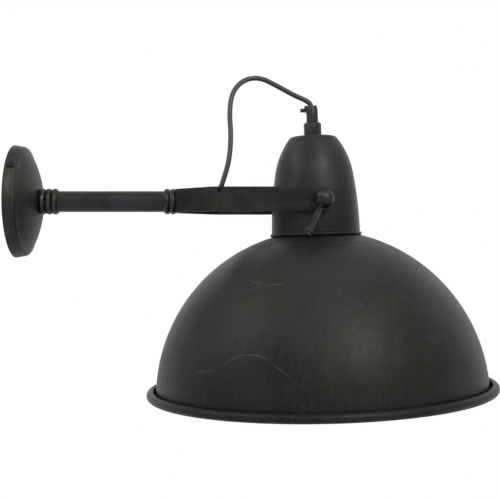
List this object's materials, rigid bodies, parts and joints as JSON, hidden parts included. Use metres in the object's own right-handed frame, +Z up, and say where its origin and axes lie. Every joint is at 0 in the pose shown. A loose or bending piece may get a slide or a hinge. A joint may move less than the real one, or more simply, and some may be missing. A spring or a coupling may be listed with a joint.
{
  "type": "wall light",
  "caption": "Wall light: round rose and straight tube arm carry a fork in which a dome shade tilts, locked by a small hand lever; a lead arches over to the shade's top.",
  "frame": {"origin": "centre of the back of the wall rose, on the wall and on the arm's axis", "axes": "+X out of the wall along the arm, +Z up, the clamp lever is on the -Y side"},
  "size_m": [0.4852, 0.3522, 0.3242],
  "materials": {
    "blackened_shade": "blackened steel, waxed, dull satin with worn patches",
    "blackened_iron": "blackened wrought steel, satin",
    "blackened_fittings": "blackened turned steel, satin to semi-gloss",
    "zinc_steel": "zinc-plated steel",
    "brass": "plain brass",
    "black_bakelite": "moulded, glossy",
    "white_ceramic": "glazed ceramic",
    "grey_terminal": "moulded polyamide",
    "lead_rubber": "smooth black sheath",
    "aluminium": "rolled aluminium",
    "clear_glass": "clear glass",
    "filament": "yellow phosphor"
  },
  "bodies": {
    "arm": {"wall_bracket": "zinc_steel", "wall_rose": "blackened_iron", "rose_screws": "blackened_fittings", "terminal_block": "grey_terminal", "terminal_screws": "zinc_steel", "earth_screw": "brass", "arm_tube": "blackened_iron", "arm_locknut": "zinc_steel", "rose_collar": "blackened_fittings", "yoke_collar": "blackened_fittings", "tube_bush": "zinc_steel", "yoke_nipple": "zinc_steel", "yoke_locknut": "blackened_fittings", "yoke": "blackened_iron", "lead_clamp": "blackened_fittings", "lead_clamp_screw": "blackened_fittings", "arm_lead": "lead_rubber", "head_lead": "lead_rubber"},
    "head": {"head_cap": "blackened_shade", "shade": "blackened_shade", "shade_screws": "zinc_steel", "shade_nuts": "zinc_steel", "pivot_bosses": "blackened_fittings", "friction_washers": "zinc_steel", "far_pivot_bolt": "blackened_fittings", "top_coupler": "blackened_fittings", "cord_grip": "blackened_fittings", "cord_grip_screw": "blackened_fittings", "head_nipple": "zinc_steel", "head_washer": "zinc_steel", "head_locknut": "zinc_steel", "holder_bell": "black_bakelite", "holder_skirt": "black_bakelite", "holder_floor": "white_ceramic", "holder_shell": "brass", "holder_contact": "brass", "holder_lead": "lead_rubber"},
    "lever": {"clamp_lever": "blackened_fittings", "lever_stud": "zinc_steel", "lever_washer": "zinc_steel"},
    "bulb": {"bulb_cap": "aluminium", "bulb_tip": "zinc_steel", "bulb_glass": "clear_glass", "bulb_stem": "clear_glass", "bulb_filaments": "filament"}
  },
  "joints": [
    {"name": "head_tilt", "type": "hinge", "parent": "arm", "child": "head", "pos_m": [0.3085, 0, 0], "axis": [0, 1, 0], "range_deg": [-60, 25], "deforming": ["head_lead"]},
    {"name": "lever_turn", "type": "hinge", "parent": "head", "child": "lever", "pos_m": [0.3085, -0.057, 0], "axis": [0, 1, 0], "range_deg": [-120, 0]},
    {"name": "bulb_out", "type": "slide", "parent": "head", "child": "bulb", "axis": [0.0314, 0, -0.9995], "range_m": [0, 0.15]}
  ]
}
